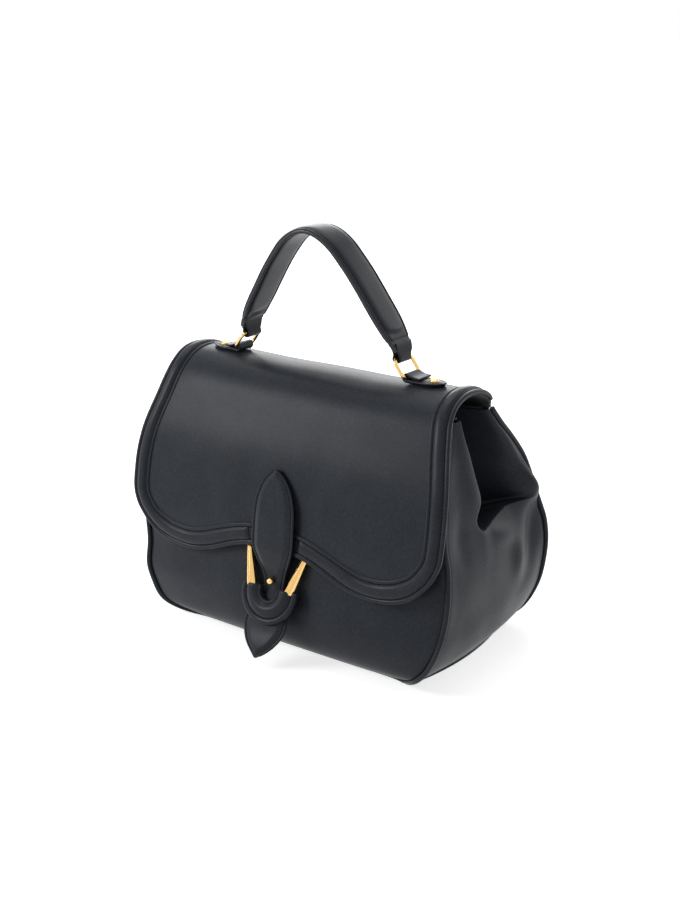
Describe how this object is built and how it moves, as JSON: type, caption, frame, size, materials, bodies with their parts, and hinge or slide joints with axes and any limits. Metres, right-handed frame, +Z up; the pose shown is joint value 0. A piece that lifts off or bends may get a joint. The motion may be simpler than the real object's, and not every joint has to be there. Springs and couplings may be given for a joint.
{
  "type": "flap handbag",
  "caption": "Structured leather handbag with a scalloped front flap, a horseshoe buckle closure and a single top handle on metal rings.",
  "frame": {"origin": "on the floor plane, under the middle of the whole bag's box", "axes": "+X to the right along the front as the viewer sees it, +Y towards the back, +Z up; the flap closes on the -Y side"},
  "size_m": [0.3248, 0.2254, 0.3612],
  "materials": {
    "leather": "smooth, fine-grained, soft satin, very dark navy",
    "lining": "matte woven textile",
    "board": "matte fibreboard",
    "hardware": "polished, gold-plated",
    "snap": "satin nickel"
  },
  "bodies": {
    "bag": {"front_panel": "leather", "back_panel": "leather", "gusset_left": "leather", "gusset_right": "leather", "base_panel": "leather", "base_board": "board", "front_piping": "leather", "back_piping": "leather", "mouth_binding": "leather", "lining_front": "lining", "lining_back": "lining", "lining_left": "lining", "lining_right": "lining", "lining_base": "lining", "snap_body": "snap"},
    "flap": {"flap_panel": "leather", "flap_lining": "lining", "border_left": "leather", "border_right": "leather", "closure_strap": "leather", "strap_stud": "hardware", "snap_flap": "snap", "buckle_chape": "leather", "chape_left": "leather", "chape_right": "leather", "chape_rivets": "hardware"},
    "buckle": {"buckle_frame": "hardware", "buckle_wrap": "leather"},
    "ring_l": {"ring_left": "hardware"},
    "ring_r": {"ring_right": "hardware"},
    "handle": {"handle_strap": "leather", "handle_lining": "leather", "handle_filler": "leather", "handle_loop_left": "leather", "handle_loop_right": "leather"}
  },
  "joints": [
    {"name": "flap_hinge", "type": "hinge", "parent": "bag", "child": "flap", "pos_m": [0, 0.02088, 0.2217], "axis": [-1, 0, 0], "range_deg": [0, 130]},
    {"name": "buckle_swing", "type": "hinge", "parent": "flap", "child": "buckle", "pos_m": [0, -0.07741, 0.10303], "axis": [-1, 0, 0], "range_deg": [0, 12]},
    {"name": "ring_right_swing", "type": "hinge", "parent": "flap", "child": "ring_r", "pos_m": [0.08811, -0.0223, 0.2472], "axis": [0, 1, 0], "range_deg": [-8, 8]},
    {"name": "ring_left_swing", "type": "hinge", "parent": "flap", "child": "ring_l", "pos_m": [-0.08811, -0.0223, 0.2472], "axis": [0, 1, 0], "range_deg": [-8, 8]},
    {"name": "handle_swing", "type": "hinge", "parent": "ring_r", "child": "handle", "pos_m": [0.078, -0.0223, 0.26111], "axis": [0, 1, 0], "range_deg": [-9.2, 9.2]}
  ],
  "couplings": [
    {"joint": "ring_left_swing", "follows": "ring_right_swing", "ratio": 1},
    {"joint": "handle_swing", "follows": "ring_right_swing", "ratio": -1.1296}
  ]
}
